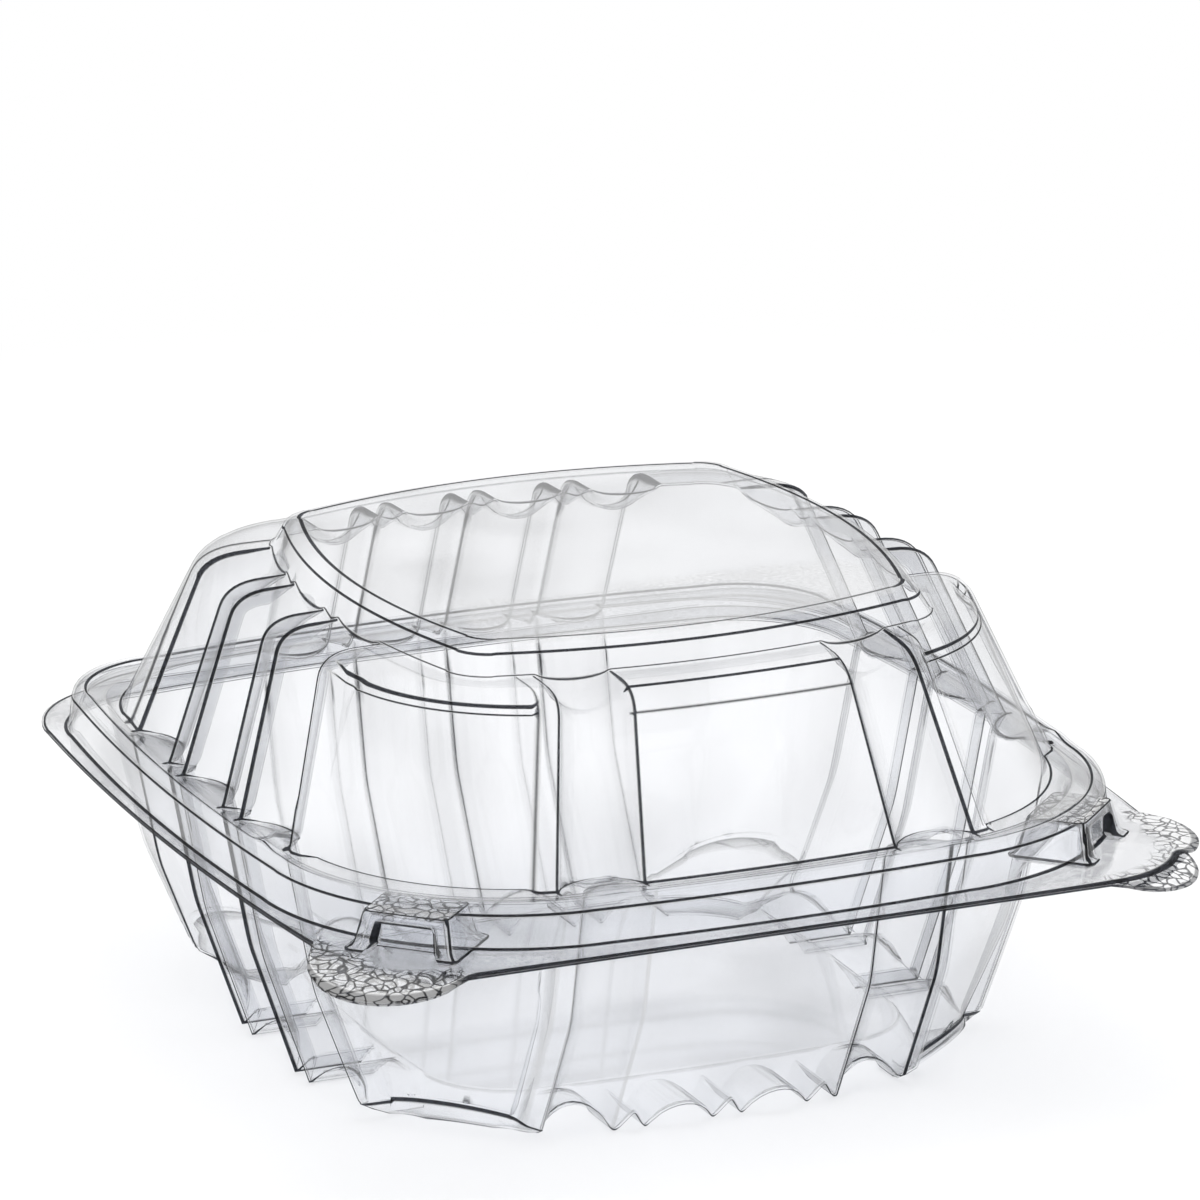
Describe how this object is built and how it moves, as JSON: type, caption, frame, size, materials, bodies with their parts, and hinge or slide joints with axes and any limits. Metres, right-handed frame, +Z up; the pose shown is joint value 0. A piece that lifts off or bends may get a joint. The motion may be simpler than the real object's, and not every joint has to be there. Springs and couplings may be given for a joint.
{
  "type": "clear hinged-lid food container",
  "caption": "Clear square food pack of thin formed plastic: fluted tray with feet and raised floor, fluted domed lid on a living hinge, nesting rim, corner snap latches and grip tabs.",
  "frame": {"origin": "on the table, under the middle of the closed pack with its tabs and hinge fold", "axes": "+Z up, +X to the right seen from the front, the latches and tabs at -Y, the hinge at +Y"},
  "size_m": [0.1473, 0.1555, 0.076],
  "materials": {
    "clear_sheet": "crystal-clear glossy thermoformed sheet"
  },
  "bodies": {
    "tray": {"tray": "clear_sheet"},
    "lid": {"lid": "clear_sheet"}
  },
  "joints": [
    {"name": "lid_hinge", "type": "hinge", "parent": "tray", "child": "lid", "pos_m": [0, 0.0772, 0.03805], "axis": [-1, 0, 0], "range_deg": [0, 180]}
  ]
}
